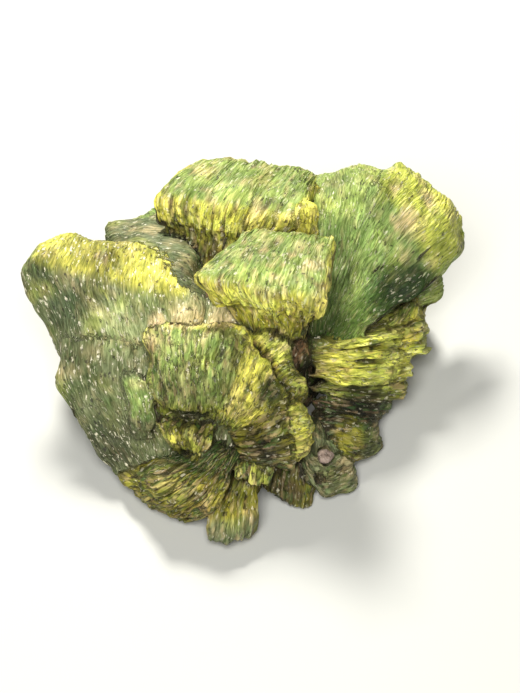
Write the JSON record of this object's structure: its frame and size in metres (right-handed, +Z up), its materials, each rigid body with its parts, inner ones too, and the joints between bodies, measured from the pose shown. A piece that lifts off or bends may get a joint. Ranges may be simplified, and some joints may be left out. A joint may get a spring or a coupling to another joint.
{
  "type": "autunite crystal cluster specimen",
  "caption": "A hand-sized mineral specimen: green and yellow fans of thin crystal leaves grown together on one core, resting on a flat cut underside.",
  "frame": {"origin": "middle of the flat underside the specimen rests on", "axes": "+X across the width, the long wing to +X and the broad shoulder to -X; +Y toward the back; +Z up"},
  "size_m": [0.0564, 0.047, 0.0269],
  "materials": {
    "autunite": "satin, fine leafy grain with small glints",
    "host_rock": "matte, rough"
  },
  "bodies": {
    "root": {"autunite_cluster": "autunite", "lodged_grain": "host_rock"}
  },
  "joints": []
}
